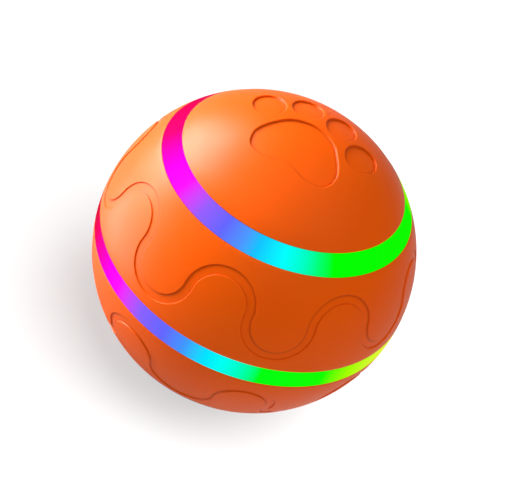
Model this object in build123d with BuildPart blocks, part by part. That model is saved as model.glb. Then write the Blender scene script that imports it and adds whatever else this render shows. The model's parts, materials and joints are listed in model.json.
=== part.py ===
from build123d import *
from math import acos, atan2, cos, degrees, pi, radians, sin, sqrt, tan
import os

# Motion-activated dog ball, in millimetres. The origin is the ball's centre, +Z is the axis that
# the two halves screw together on, and +Y is the way that the upper paw print points. A weighted
# drive unit turns about the same axis inside, geared to an axle that stands in the lower half.

# Ball wall, from the outside in. The ball is as large as what stands on its axis needs.
cover_wall = 2.5
core_wall = 2.2
bond_gap = 0.06
seam = 0.08
parting_gap = 0.15
overrun = 1.0

# Light rings: one on the equator and one near each end
ring_width = 5.24
ring_latitude = 42.5
ring_seat = 0.75

# Wave channel round each half, made of tangent circles that lie on the ball
wave_count = 8
wave_latitude = 20.35
wave_lean_angle = 0.45
wave_start_angle = 5.5
channel_width = 2.3
channel_depth = 0.3
channel_ramp = 0.12
channel_relief = 0.05

# Paw print, seen along the axis
paw_depth = 0.5
toe_length = 10.8
toe_width = 7.6
outer_toe_side = 12.3
outer_toe_rise = 3.25
outer_toe_angle = 17
inner_toe_side = 4.55
inner_toe_rise = 8.25
inner_toe_angle = 5
pad_half_width = 10.6
pad_length = 16.0
pad_top = 2.1
pad_outline_shares = [(0, 0), (0.55, 0.14), (0.76, 0.31), (1, 0.68), (0.88, 0.91), (0.54, 1), (0, 0.94)]

# Quick thread that joins the halves: ribs in the lower half's collar and on the upper half's neck
collar_step = 0.4
thread_height = 0.8
thread_gap = 0.25
thread_width = 1.2
thread_root = 0.6
thread_count = 4
thread_arc_angle = 60
thread_lead = 24.0
thread_play = 0.35
thread_drop = 0.32
neck_wall = 1.6
neck_length = 7.4
flange_wall = 2.4
seal_radius = 0.6
seal_gap = 0.08
seal_drop = 1.1

# Axle that stands in the lower half
axle_radius = 2.5
axle_flat = 0.5
shoulder_radius = 3.6
shoulder_height = 3.94
shoulder_gap = 0.3
boss_radius = 5.6
boss_height = 7.0
fixed_gap = 0.03
running_gap = 0.06
end_play = 0.3

# Gears
pressure_angle = 25
tip_share, root_share = 0.9, 1.15
backlash = 0.12
output_module = 0.7
output_teeth = 28
train_module = 0.5
wheel_teeth = 34
pinion_teeth = 10
output_width = 3.0
wheel_width = 2.0
wheel_gap = 0.4
gear_float = 0.6
pin_radius = 1.0
hub_radius = 1.9
second_angle, first_angle, motor_angle = 0, 110, 193

# Gearbox, which is as wide as its gears need
wheel_air = 1.95
gearbox_wall = 1.8
floor_wall = 2.0
plate_wall = 2.0
gearbox_round = 2.5
lug_radius = 2.8
lug_height = 5.0
lug_floor = 1.0
lug_count = 4
lug_start_angle = 20
bush_radius = 4.2
bush_length = 6.0
bush_flange_radius = 5.4
bush_flange_wall = 1.0
bush_housing_radius = 6.6
pin_seat = 1.4

# Counterweight, which fills the gearbox from the output gear to the wall
weight_air = 2.0
weight_gap = 0.4
weight_start_angle, weight_arc_angle = -135, 90
weight_screw_angle = 26
weight_round = 1.25

# Motor
motor_radius = 7.75
motor_flat = 12.5
motor_length = 16.0
motor_cap_length = 3.0
motor_air = 1.4
motor_boss_radius = 3.0
motor_boss_height = 1.0
motor_collar_wall = 1.2
motor_collar_height = 3.0
motor_screw_reach = 6.0
motor_head_height = 0.48
shaft_radius = 1.0
terminal_wide, terminal_thick, terminal_reach = 1.6, 0.4, 4.6

# Battery cell, a standard 16340, with the gap that keeps it off a pillar
cell_radius = 8.3
cell_length = 34.0
cell_air = 0.6
cell_round = 0.4
cell_nub_radius, cell_nub_height = 3.2, 0.8
cradle_floor = 0.8
cradle_wide, cradle_inset, cradle_height = 2.4, 6.0, 6.0
contact_wide, contact_thick = 6.0, 0.4
cell_pad_inset, cell_pad_wide, cell_pad_height = 8.0, 9.0, 3.0

# Circuit board and what stands on it
board_wall = 1.6
board_edge = 2.3
pillar_radius = 2.1
pillar_inset = 1.8
pillar_count = 3
pillar_start_angle = 30
led_count = 6
led_inset = 1.0
led_side, led_height, led_lens_radius, led_lens_depth = 5.0, 1.6, 1.9, 0.3
port_long, port_wide, port_wall = 8.94, 3.26, 0.35
port_floor = 2.0
port_tongue_long, port_tongue_wide, port_tongue_drop = 6.7, 0.7, 0.8
switch_side, switch_height = 6.0, 3.5
plunger_radius, plunger_height, plunger_well = 1.75, 1.1, 1.0
sensor_radius, sensor_height, sensor_chamfer, sensor_air = 2.6, 4.0, 0.43, 3.0
chip_long, chip_wide, chip_height, chip_air = 6.0, 5.0, 1.5, 2.6

# Top cover, power button and pivot. The cover is as wide as the button beside the pivot needs.
top_wall = 1.4
top_height = 8.6
top_air = 2.1
top_lug_radius = 2.8
top_lug_wall = 1.8
top_lug_count = 3
top_lug_start_angle = 90
pivot_radius = 2.0
pivot_chamfer = 0.4
pivot_boss_radius = 4.5
pivot_boss_height = 4.0
pivot_air = 1.24
pivot_seat = 3.0
pivot_engagement = 4.5
socket_radius = 6.2
socket_height = 6.4
pivot_bush_wall = 1.5
socket_floor = 0.7
button_radius = 3.0
button_proud = 0.8
button_round = 0.4
button_flange = 1.1
button_flange_wall = 1.2
button_travel = 0.5
button_gap = 0.25
button_air = 0.8

# Screws
small_screw_radius, small_head_radius, small_head_height = 0.9, 1.8, 1.2
axle_screw_radius, axle_head_radius, axle_head_height = 1.25, 2.8, 1.4
gear_head_radius = 3.0
head_gap = 0.25
screw_reach = 5.0

# What stands on the axis, from the lower half's foot to the upper half's crown
gear_room = gear_float + output_width + wheel_gap + wheel_width + wheel_gap + wheel_width + gear_float
board_lift = max(
    motor_length + motor_cap_length + motor_air,
    cradle_floor + 2 * cell_radius + cell_pad_height,
)
axle_stack = boss_height + shoulder_height + shoulder_gap + bush_length
drive_stack = gear_room + plate_wall + board_lift + board_wall + top_height
pivot_stack = pivot_boss_height + pivot_air + socket_height

# Radii of the wall's layers and the angles of its seams
core_inner = (axle_stack + drive_stack + pivot_stack) / 2
core_outer = core_inner + core_wall
cover_inner = core_outer + bond_gap
ball_radius = cover_inner + cover_wall
ring_floor = core_outer - ring_seat
ring_angle = degrees(ring_width / 2 / ball_radius)
seam_angle = degrees(seam / ball_radius)
parting_angle = degrees(parting_gap / ball_radius)
groove_angle = ring_angle + seam_angle

# Collar, neck and seal
collar_inner = core_inner - collar_step
collar_top = ring_floor * sin(radians(ring_angle))
collar_length = collar_top + sqrt(core_inner**2 - collar_inner**2)
flange_low = collar_top + parting_gap
neck_outer = collar_inner - thread_height - thread_gap
neck_inner = neck_outer - neck_wall
axle_head_low = -sqrt(core_outer**2 - axle_head_radius**2)
seal_circle = collar_inner - seal_gap - seal_radius
seal_level = collar_top - seal_drop
thread_fall = thread_lead * thread_arc_angle / 720
thread_level = seal_level - seal_radius - thread_width / 2 - thread_fall - thread_drop
thread_tilt = degrees(atan2(thread_lead / (2 * pi), neck_outer))
thread_shift = (thread_width + thread_play) / thread_lead * 360

# Heights in the gearbox, from the axle's foot up
bush_low = boss_height + shoulder_height + shoulder_gap - core_inner
floor_top = bush_low + bush_length
gearbox_low = floor_top - floor_wall
output_low = floor_top + gear_float
output_high = output_low + output_width
second_wheel_low = output_high + wheel_gap
first_wheel_low = second_wheel_low + wheel_width + wheel_gap
plate_low = first_wheel_low + wheel_width + gear_float
plate_high = plate_low + plate_wall
gear_low = floor_top + end_play
gear_high = plate_low - end_play
pin_low = floor_top - pin_seat
pin_high = plate_low + pin_seat

# Centres of the gears, in mesh from the axle outwards
second_reach = output_module * (output_teeth + pinion_teeth) / 2
train_reach = train_module * (wheel_teeth + pinion_teeth) / 2


def step_from(start, reach, turn):
    """The point that lies reach away from start, at turn degrees from +X."""
    return (start[0] + reach * cos(radians(turn)), start[1] + reach * sin(radians(turn)))


def tip_radius(teeth, module):
    """The radius over the tips of a gear's teeth."""
    return module * (teeth / 2 + tip_share)


def meshed_turn(teeth, mate_teeth, mate_turn, line):
    """How far a gear is turned so that it meshes with a mate; line runs from the mate to the gear."""
    mate_phase = (line - mate_turn) * mate_teeth / 360
    return line + 180 - (0.5 - mate_phase) * 360 / teeth


second_centre = step_from((0, 0), second_reach, second_angle)
first_centre = step_from(second_centre, train_reach, first_angle)
motor_centre = step_from(first_centre, train_reach, motor_angle)
second_phase = meshed_turn(pinion_teeth, output_teeth, 0, second_angle)
first_phase = meshed_turn(pinion_teeth, wheel_teeth, second_phase, first_angle)
motor_phase = meshed_turn(pinion_teeth, wheel_teeth, first_phase, motor_angle)

# Radii in the drive unit, from the gears out
gearbox_radius = second_reach + tip_radius(wheel_teeth, train_module) + wheel_air + gearbox_wall
weight_inner = tip_radius(output_teeth, output_module) + weight_air
weight_outer = gearbox_radius - gearbox_wall - weight_gap
pillar_circle = gearbox_radius - pillar_inset
board_radius = pillar_circle + board_edge
led_circle = pillar_circle - led_inset
cell_offset = pillar_circle - pillar_radius - cell_air - cell_radius
cradle_reach = cell_length / 2 - cradle_inset

# Places beside the pivot, under the top cover
side_offset = pivot_boss_radius + button_air + button_radius + button_flange
top_inner = side_offset + button_radius + button_flange + top_air
top_radius = top_inner + top_wall
top_lug_circle = top_radius + small_head_radius + head_gap
sensor_offset = top_inner - sensor_radius - sensor_air
chip_offset = top_inner - chip_wide / 2 - chip_air

# Heights above the gearbox
cell_level = plate_high + cradle_floor + cell_radius
motor_top = plate_high + motor_length + motor_cap_length
board_low = plate_high + board_lift
board_high = board_low + board_wall
roof_high = board_high + top_height
roof_low = roof_high - top_wall
pivot_boss_high = roof_high + pivot_boss_height
socket_low = core_inner - socket_height
pivot_high = socket_low + pivot_engagement


def plane_at(centre, height, turn=0):
    """A level plane above centre, its X axis turned from +X by turn degrees."""
    facing = (cos(radians(turn)), sin(radians(turn)), 0)
    return Plane(origin=(centre[0], centre[1], height), x_dir=facing, z_dir=(0, 0, 1))


def band(inner, outer, start, end, mode=Mode.ADD):
    """Draw a slice of a ring between two angles, in the sketch that is open."""
    with BuildLine() as outline:
        rim = CenterArc((0, 0), outer, start, end - start)
        bore = CenterArc((0, 0), inner, start, end - start)
        Line(rim @ 0, bore @ 0)
        Line(rim @ 1, bore @ 1)
    make_face(outline.edges(), mode=mode)


def peg(plane, radius, height, mode=Mode.ADD):
    """Stand a round peg on plane, in the part that is open, or sink it as a hole."""
    with BuildSketch(plane) as outline:
        Circle(radius)
    extrude(outline.sketch, amount=height, mode=mode)


def block(plane, long, wide, height, mode=Mode.ADD):
    """Stand a block on plane, in the part that is open, or cut it away."""
    with BuildSketch(plane) as outline:
        Rectangle(long, wide)
    extrude(outline.sketch, amount=height, mode=mode)


def screw(seat, head_radius, head_height, shank_radius, reach):
    """Add a screw whose head stands on the plane seat and whose shank goes down from it."""
    peg(seat, head_radius, head_height)
    peg(seat, shank_radius, -reach)


def ring_places(radius, count, start, middle=(0, 0)):
    """Centres that are spaced evenly round a circle about middle."""
    return [step_from(middle, radius, start + 360 * n / count) for n in range(count)]


def gear(plane, teeth, module, width):
    """Add a spur gear to the part that is open, standing on plane, with one tooth along plane's X."""
    pitch = module * teeth / 2
    base = pitch * cos(radians(pressure_angle))
    root = pitch - root_share * module
    tip = tip_radius(teeth, module)
    flank_start = max(base, root)

    def flank(radius, side):
        # Half of the tooth's thickness at this radius, as an angle, from the involute of its base circle
        roll = acos(min(1, base / max(radius, base)))
        at_pitch = radians(pressure_angle)
        half = pi / (2 * teeth) - backlash / (4 * pitch)
        half += tan(at_pitch) - at_pitch - tan(roll) + roll
        return (radius * cos(half), side * radius * sin(half))

    with BuildSketch() as tooth:
        with BuildLine():
            middle = (flank_start + tip) / 2
            for side in (-1, 1):
                Line(flank(root - module, side), flank(flank_start, side))
                ThreePointArc(flank(flank_start, side), flank(middle, side), flank(tip, side))
            Line(flank(root - module, -1), flank(root - module, 1))
            Line(flank(tip, -1), flank(tip, 1))
        make_face()
    with BuildSketch(plane) as outline:
        Circle(root)
        with PolarLocations(0, teeth):
            add(tooth.sketch)
    extrude(outline.sketch, amount=width)


# Soft covers and light rings


def heading(latitude, longitude):
    """The way from the ball's centre to a place on it. Longitude runs from -Y towards +X."""
    up, round_axis = radians(latitude), radians(longitude)
    return Vector(cos(up) * sin(round_axis), -cos(up) * cos(round_axis), sin(up))


def channel_lobe(longitude, side):
    """One bend of the wave channel: side 1 is a peak, nearer the pole, and -1 is a trough.

    Both walls are steep, and the one on the side of the pole slopes a little more.
    """
    centre = heading(wave_latitude + side * wave_lean_angle, longitude)
    neighbour = heading(wave_latitude - side * wave_lean_angle, longitude + 180 / wave_count)
    east = heading(0, longitude + 90)
    north = centre.cross(east)
    bend = centre.get_angle(neighbour) / 2
    rise = degrees(atan2(neighbour.dot(north), neighbour.dot(east)))
    begin = rise if side > 0 else 180 - rise
    begin_way = east * cos(radians(begin)) + north * sin(radians(begin))
    half, ramp, relief = (
        side * degrees(width / ball_radius) for width in (channel_width / 2, channel_ramp, channel_relief)
    )
    above = overrun / channel_depth
    floor, over = ball_radius - channel_depth, ball_radius + overrun
    corners = [
        (bend - half + relief, floor),
        (bend - half - relief * above, over),
        (bend + half + ramp * above, over),
        (bend + half - ramp, floor),
    ]
    with BuildPart(mode=Mode.PRIVATE) as lobe:
        with BuildSketch(Plane(origin=(0, 0, 0), x_dir=begin_way, z_dir=begin_way.cross(centre))):
            with BuildLine():
                Polyline(*[(r * sin(radians(a)), r * cos(radians(a))) for a, r in corners], close=True)
            make_face()
        revolve(axis=Axis((0, 0, 0), centre), revolution_arc=180 - 2 * side * rise)
    return lobe.part


with BuildPart() as upper_wave_cover:
    with BuildSketch(Plane.XZ):
        band(cover_inner, ball_radius, ring_angle + parting_angle, ring_latitude - groove_angle)
    revolve(axis=Axis.Z)
    with PolarLocations(0, wave_count):
        add(channel_lobe(wave_start_angle, 1), mode=Mode.SUBTRACT)
        add(channel_lobe(wave_start_angle + 180 / wave_count, -1), mode=Mode.SUBTRACT)

with BuildPart() as paw_print:
    with BuildSketch(Plane.XY.offset(cover_inner * cos(radians(ring_latitude)))):
        with BuildLine():
            pad_points = [
                (across * pad_half_width, pad_top - down * pad_length)
                for across, down in pad_outline_shares
            ]
            Spline(*pad_points, tangents=[(1, 0), (-1, 0)])
            mirror(about=Plane.YZ)
        make_face()
        for side in (-1, 1):
            for across, rise, lean in (
                (outer_toe_side, outer_toe_rise, outer_toe_angle),
                (inner_toe_side, inner_toe_rise, inner_toe_angle),
            ):
                with Locations((side * across, rise)):
                    Ellipse(toe_width / 2, toe_length / 2, rotation=-side * lean)
    extrude(amount=ball_radius)
    Sphere(ball_radius - paw_depth, mode=Mode.SUBTRACT)

with BuildPart() as upper_cap_cover:
    with BuildSketch(Plane.XZ):
        band(cover_inner, ball_radius, ring_latitude + groove_angle, 90)
    revolve(axis=Axis.Z)
    add(paw_print.part, mode=Mode.SUBTRACT)

with BuildPart() as upper_light_ring:
    with BuildSketch(Plane.XZ):
        band(ring_floor + bond_gap, ball_radius, ring_latitude - ring_angle, ring_latitude + ring_angle)
    revolve(axis=Axis.Z)

with BuildPart() as equator_light_ring:
    with BuildSketch(Plane.XZ):
        band(ring_floor + bond_gap, ball_radius, -ring_angle, ring_angle)
    revolve(axis=Axis.Z)

with BuildPart() as lower_wave_cover:
    mirror(upper_wave_cover.part, about=Plane.XY)

with BuildPart() as lower_cap_cover:
    mirror(upper_cap_cover.part, about=Plane.XY)

with BuildPart() as lower_light_ring:
    mirror(upper_light_ring.part, about=Plane.XY)


# Core halves and the quick thread between them


def thread_rib(turn, inner, outer):
    """One rib of the quick thread, on a ring that is tilted to the thread's slope."""
    out = Vector(cos(radians(turn)), sin(radians(turn)), 0)
    along = Vector(-sin(radians(turn)), cos(radians(turn)), 0)
    climb = along * cos(radians(thread_tilt)) + Vector(0, 0, 1) * sin(radians(thread_tilt))
    axis = out.cross(climb)
    begin = out * cos(radians(thread_arc_angle / 2)) - climb * sin(radians(thread_arc_angle / 2))
    level = (0, 0, thread_level)
    with BuildSketch(Plane(origin=level, x_dir=begin, z_dir=begin.cross(axis))) as section:
        with Locations((inner, 0)):
            Rectangle(outer - inner, thread_width, align=(Align.MIN, Align.CENTER))
    revolve(section.sketch, axis=Axis(level, axis), revolution_arc=thread_arc_angle)


with BuildPart() as lower_core_shell:
    with BuildSketch(Plane.XZ):
        band(core_inner, core_outer, -90, ring_angle * 2)
        with Locations((collar_inner, collar_top)):
            Rectangle(ring_floor - collar_inner, collar_length, align=(Align.MIN, Align.MAX))
        with Locations((0, collar_top)):
            Rectangle(ball_radius, ball_radius, align=(Align.MIN, Align.MIN), mode=Mode.SUBTRACT)
        band(ring_floor, ball_radius, -groove_angle, ring_angle * 2, mode=Mode.SUBTRACT)
        band(
            ring_floor,
            ball_radius,
            -ring_latitude - groove_angle,
            -ring_latitude + groove_angle,
            mode=Mode.SUBTRACT,
        )
    revolve(axis=Axis.Z)
    for start in range(thread_count):
        thread_rib(360 * start / thread_count, collar_inner - thread_height, collar_inner + thread_root)
    foot = Plane.XY.offset(-core_inner)
    peg(foot.offset(-core_wall / 2), boss_radius, boss_height + core_wall / 2)
    with BuildSketch(foot):
        Circle(axle_radius + fixed_gap)
        with Locations((0, axle_radius - axle_flat + fixed_gap)):
            Rectangle(4 * axle_radius, 2 * axle_radius, align=(Align.CENTER, Align.MIN), mode=Mode.SUBTRACT)
    extrude(amount=boss_height, mode=Mode.SUBTRACT)
    peg(foot, axle_screw_radius + fixed_gap, -2 * core_wall, mode=Mode.SUBTRACT)
    peg(
        Plane.XY.offset(axle_head_low + axle_head_height),
        axle_head_radius + fixed_gap,
        -core_wall,
        mode=Mode.SUBTRACT,
    )

with BuildPart() as upper_core_shell:
    with BuildSketch(Plane.XZ):
        band(core_inner, core_outer, 0, 90)
        with Locations((neck_inner, flange_low)):
            Rectangle(ring_floor - neck_inner, flange_wall, align=(Align.MIN, Align.MIN))
        with Locations((0, flange_low)):
            Rectangle(ball_radius, ball_radius, align=(Align.MIN, Align.MAX), mode=Mode.SUBTRACT)
        with Locations((neck_inner, flange_low)):
            Rectangle(neck_wall, neck_length, align=(Align.MIN, Align.MAX))
        with Locations((seal_circle, seal_level)):
            Circle(seal_radius + seal_gap, mode=Mode.SUBTRACT)
        band(
            ring_floor,
            ball_radius,
            ring_latitude - groove_angle,
            ring_latitude + groove_angle,
            mode=Mode.SUBTRACT,
        )
    revolve(axis=Axis.Z)
    for start in range(thread_count):
        turn = 360 * start / thread_count + thread_shift
        thread_rib(turn, neck_outer - thread_root, neck_outer + thread_height)
    seat = Plane.XY.offset(socket_low)
    bush_seat = pivot_radius + running_gap + pivot_bush_wall + fixed_gap
    peg(seat, socket_radius, socket_height + core_wall / 2)
    peg(seat, bush_seat, socket_height - socket_floor, mode=Mode.SUBTRACT)

with BuildPart() as seal_ring:
    with BuildSketch(Plane.XZ):
        with Locations((seal_circle, seal_level)):
            Circle(seal_radius)
    revolve(axis=Axis.Z)

with BuildPart() as pivot_bush:
    seat = Plane.XY.offset(socket_low)
    peg(seat, pivot_radius + running_gap + pivot_bush_wall, socket_height - socket_floor)
    peg(seat, pivot_radius + running_gap, socket_height - socket_floor, mode=Mode.SUBTRACT)

# Axle with a shoulder below the drive unit, its output gear, and the screws that hold them

with BuildPart() as drive_axle:
    foot = Plane.XY.offset(-core_inner)
    peg(foot, axle_radius, core_inner + output_high)
    shoulder_low = boss_height - core_inner
    peg(Plane.XY.offset(shoulder_low), shoulder_radius, bush_low - shoulder_gap - shoulder_low)
    for low, length in ((-core_inner, boss_height), (output_low, output_width)):
        with BuildSketch(Plane.XY.offset(low)):
            with Locations((0, axle_radius - axle_flat)):
                Rectangle(4 * axle_radius, 2 * axle_radius, align=(Align.CENTER, Align.MIN))
        extrude(amount=length, mode=Mode.SUBTRACT)
    peg(foot, axle_screw_radius + fixed_gap, screw_reach, mode=Mode.SUBTRACT)
    peg(Plane.XY.offset(output_high), small_screw_radius + fixed_gap, -screw_reach, mode=Mode.SUBTRACT)

with BuildPart() as axle_screw:
    head_high = axle_head_low + axle_head_height
    peg(Plane.XY.offset(head_high), axle_head_radius, -axle_head_height)
    peg(Plane.XY.offset(head_high), axle_screw_radius, screw_reach - core_inner - head_high)

with BuildPart() as output_gear:
    gear(plane_at((0, 0), output_low), output_teeth, output_module, output_width)
    with BuildSketch(Plane.XY.offset(output_low)):
        Circle(axle_radius + fixed_gap)
        with Locations((0, axle_radius - axle_flat + fixed_gap)):
            Rectangle(4 * axle_radius, 2 * axle_radius, align=(Align.CENTER, Align.MIN), mode=Mode.SUBTRACT)
    extrude(amount=output_width, mode=Mode.SUBTRACT)

with BuildPart() as gear_screw:
    screw(
        Plane.XY.offset(output_high),
        gear_head_radius,
        small_head_height,
        small_screw_radius,
        screw_reach,
    )

# Gear train on two pins, and the motor's shaft with its pinion

with BuildPart() as second_gear:
    pinion_long = second_wheel_low - gear_low
    gear(plane_at(second_centre, gear_low, second_phase), pinion_teeth, output_module, pinion_long)
    gear(plane_at(second_centre, second_wheel_low, second_phase), wheel_teeth, train_module, wheel_width)
    peg(plane_at(second_centre, second_wheel_low), hub_radius, gear_high - second_wheel_low)
    bore = plane_at(second_centre, gear_low)
    peg(bore, pin_radius + running_gap, gear_high - gear_low, mode=Mode.SUBTRACT)

with BuildPart() as first_gear:
    pinion_low = second_wheel_low - end_play
    pinion_long = first_wheel_low - pinion_low
    gear(plane_at(first_centre, pinion_low, first_phase), pinion_teeth, train_module, pinion_long)
    gear(plane_at(first_centre, first_wheel_low, first_phase), wheel_teeth, train_module, wheel_width)
    bore = plane_at(first_centre, gear_low)
    peg(bore, hub_radius, gear_high - gear_low)
    peg(bore, pin_radius + running_gap, gear_high - gear_low, mode=Mode.SUBTRACT)

with BuildPart() as gear_pins:
    for centre in (second_centre, first_centre):
        peg(plane_at(centre, pin_low), pin_radius, pin_high - pin_low)

with BuildPart() as motor_pinion:
    low = first_wheel_low - end_play
    gear(plane_at(motor_centre, low, motor_phase), pinion_teeth, train_module, gear_high - low)
    peg(plane_at(motor_centre, low), shaft_radius + fixed_gap, gear_high - low, mode=Mode.SUBTRACT)

with BuildPart() as motor_shaft:
    low = first_wheel_low - end_play
    peg(plane_at(motor_centre, low), shaft_radius, motor_top - low)

# Gearbox

lug_circle = gearbox_radius + lug_radius / 2
lug_places = ring_places(lug_circle, lug_count, lug_start_angle)
pillar_places = ring_places(pillar_circle, pillar_count, pillar_start_angle)
weight_middle_angle = weight_start_angle + weight_arc_angle / 2
weight_screw_places = [
    step_from((0, 0), (weight_inner + weight_outer) / 2, weight_middle_angle + side * weight_screw_angle)
    for side in (-1, 1)
]
motor_screw_places = ring_places(motor_screw_reach, 2, motor_angle + 90, motor_centre)

with BuildPart() as gearbox_base:
    with BuildSketch(Plane.XZ):
        with Locations((0, gearbox_low)):
            Rectangle(gearbox_radius, plate_low - gearbox_low, align=(Align.MIN, Align.MIN))
        fillet(vertices().sort_by(Axis.Y)[:2].sort_by(Axis.X)[-1], gearbox_round)
        with Locations((0, floor_top)):
            Rectangle(
                gearbox_radius - gearbox_wall,
                plate_low - floor_top,
                align=(Align.MIN, Align.MIN),
                mode=Mode.SUBTRACT,
            )
    revolve(axis=Axis.Z)
    bush_seat = bush_low + bush_flange_wall
    peg(Plane.XY.offset(bush_seat), bush_housing_radius, floor_top - bush_seat)
    for place in lug_places:
        peg(plane_at(place, plate_low - lug_height), lug_radius, lug_height)
    gearbox_inner = gearbox_radius - gearbox_wall
    peg(Plane.XY.offset(floor_top), gearbox_inner, plate_low - floor_top, mode=Mode.SUBTRACT)
    for place in lug_places:
        peg(plane_at(place, plate_low), small_screw_radius + fixed_gap, -lug_height, mode=Mode.SUBTRACT)
    for centre in (second_centre, first_centre):
        peg(plane_at(centre, pin_low), pin_radius + fixed_gap, pin_seat, mode=Mode.SUBTRACT)
    for place in weight_screw_places:
        peg(
            plane_at(place, gearbox_low),
            small_screw_radius + fixed_gap,
            floor_wall,
            mode=Mode.SUBTRACT,
        )
    peg(Plane.XY.offset(bush_low), bush_radius + fixed_gap, floor_top - bush_low, mode=Mode.SUBTRACT)

with BuildPart() as axle_bush:
    peg(Plane.XY.offset(bush_low), bush_radius, bush_length)
    peg(Plane.XY.offset(bush_low), bush_flange_radius, bush_flange_wall)
    peg(Plane.XY.offset(bush_low), axle_radius + running_gap, bush_length, mode=Mode.SUBTRACT)


def motor_outline(height, grow):
    """The motor's round can with its two flats, grown on every side, as a sketch at a height."""
    with BuildSketch(plane_at(motor_centre, height, motor_angle + 90)) as outline:
        Circle(motor_radius + grow)
        Rectangle(2 * (motor_radius + grow), motor_flat + 2 * grow, mode=Mode.INTERSECT)
    return outline.sketch


with BuildPart() as gearbox_cover:
    peg(Plane.XY.offset(plate_low), gearbox_radius, plate_wall)
    for place in lug_places:
        peg(plane_at(place, plate_low), lug_radius, plate_wall)
    for place in pillar_places:
        peg(plane_at(place, plate_high), pillar_radius, board_lift)
    extrude(motor_outline(plate_high, motor_collar_wall), amount=motor_collar_height)
    for side in (-1, 1):
        cradle = plane_at((side * cradle_reach, -cell_offset), plate_high)
        block(cradle, cradle_wide, 2 * cell_radius - 2 * motor_collar_wall, cradle_height)
    extrude(motor_outline(plate_high, fixed_gap), amount=motor_collar_height, mode=Mode.SUBTRACT)
    peg(plane_at(motor_centre, plate_low), motor_boss_radius + fixed_gap, plate_wall, mode=Mode.SUBTRACT)
    with BuildSketch(Plane.YZ.offset(-cell_length / 2)):
        with Locations((-cell_offset, cell_level)):
            Circle(cell_radius + fixed_gap)
    extrude(amount=cell_length, mode=Mode.SUBTRACT)
    for centre in (second_centre, first_centre):
        peg(plane_at(centre, plate_low), pin_radius + fixed_gap, pin_seat, mode=Mode.SUBTRACT)
    for place in lug_places:
        peg(plane_at(place, plate_low), small_screw_radius + fixed_gap, plate_wall, mode=Mode.SUBTRACT)
    for place in pillar_places:
        peg(
            plane_at(place, board_low),
            small_screw_radius + fixed_gap,
            board_wall - screw_reach,
            mode=Mode.SUBTRACT,
        )
    for place in motor_screw_places:
        peg(plane_at(place, plate_low), small_screw_radius + fixed_gap, plate_wall, mode=Mode.SUBTRACT)

with BuildPart() as cover_screws:
    for place in lug_places:
        reach = plate_wall + lug_height - lug_floor
        screw(plane_at(place, plate_high), small_head_radius, small_head_height, small_screw_radius, reach)

with BuildPart() as counterweight:
    with BuildSketch(Plane.XY.offset(floor_top)):
        weight_end_angle = weight_start_angle + weight_arc_angle
        band(weight_inner, weight_outer, weight_start_angle, weight_end_angle)
    extrude(amount=gear_high - floor_top)
    fillet(edges().filter_by(Axis.Z), weight_round)
    for place in weight_screw_places:
        peg(
            plane_at(place, floor_top),
            small_screw_radius + fixed_gap,
            screw_reach - floor_wall,
            mode=Mode.SUBTRACT,
        )

with BuildPart() as weight_screws:
    for place in weight_screw_places:
        head = plane_at(place, gearbox_low)
        peg(head, small_head_radius, -small_head_height)
        peg(head, small_screw_radius, screw_reach)

# Motor

with BuildPart() as motor_can:
    extrude(motor_outline(plate_high, 0), amount=motor_length)
    peg(plane_at(motor_centre, plate_high), motor_boss_radius, -motor_boss_height)
    low = plate_high - motor_boss_height
    long = motor_boss_height + motor_length
    peg(plane_at(motor_centre, low), shaft_radius + running_gap, long, mode=Mode.SUBTRACT)
    for place in motor_screw_places:
        reach = screw_reach - plate_wall
        peg(plane_at(place, plate_high), small_screw_radius + fixed_gap, reach, mode=Mode.SUBTRACT)

with BuildPart() as motor_end_cap:
    low = plate_high + motor_length
    extrude(motor_outline(low, -motor_collar_wall / 2), amount=motor_cap_length)
    peg(plane_at(motor_centre, low), shaft_radius + running_gap, motor_cap_length, mode=Mode.SUBTRACT)

with BuildPart() as motor_screws:
    for place in motor_screw_places:
        head = plane_at(place, plate_low)
        peg(head, small_head_radius, -motor_head_height)
        peg(head, small_screw_radius, screw_reach)

with BuildPart() as motor_terminals:
    for side in (-1, 1):
        place = step_from(motor_centre, side * terminal_reach, 0)
        block(plane_at(place, motor_top), terminal_thick, terminal_wide, board_low - motor_top)

# Battery cell with its contacts, held in the cover's cradles under a foam pad

with BuildPart() as battery_cell:
    with BuildSketch(Plane.YZ.offset(-cell_length / 2)):
        with Locations((-cell_offset, cell_level)):
            Circle(cell_radius)
    extrude(amount=cell_length)
    fillet(edges().filter_by(GeomType.CIRCLE), cell_round)
    with BuildSketch(Plane.YZ.offset(cell_length / 2)):
        with Locations((-cell_offset, cell_level)):
            Circle(cell_nub_radius)
    extrude(amount=cell_nub_height)

with BuildPart() as battery_contacts:
    for side, reach in ((-1, cell_length / 2), (1, cell_length / 2 + cell_nub_height)):
        place = (side * (reach + contact_thick / 2), -cell_offset)
        low = cell_level - cell_nub_radius
        block(plane_at(place, low), contact_thick, contact_wide, board_low - low)

with BuildPart() as battery_pad:
    low = cell_level + cell_radius
    long = cell_length - 2 * cell_pad_inset
    block(plane_at((0, -cell_offset), low), long, cell_pad_wide, board_low - low)

# Circuit board

port_place = (side_offset, 0)
switch_place = (-side_offset, 0)
top_lug_places = ring_places(top_lug_circle, top_lug_count, top_lug_start_angle)

with BuildPart() as circuit_board:
    peg(Plane.XY.offset(board_low), board_radius, board_wall)
    for place in pillar_places + top_lug_places:
        peg(plane_at(place, board_low), small_screw_radius + fixed_gap, board_wall, mode=Mode.SUBTRACT)

with BuildPart() as board_screws:
    for place in pillar_places:
        screw(
            plane_at(place, board_high),
            small_head_radius,
            small_head_height,
            small_screw_radius,
            screw_reach,
        )

with BuildPart() as ring_leds:
    for place in ring_places(led_circle, led_count, 0):
        turn = degrees(atan2(place[1], place[0]))
        block(plane_at(place, board_high, turn), led_side, led_side, led_height)
        peg(plane_at(place, board_high + led_height), led_lens_radius, -led_lens_depth, mode=Mode.SUBTRACT)

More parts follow.
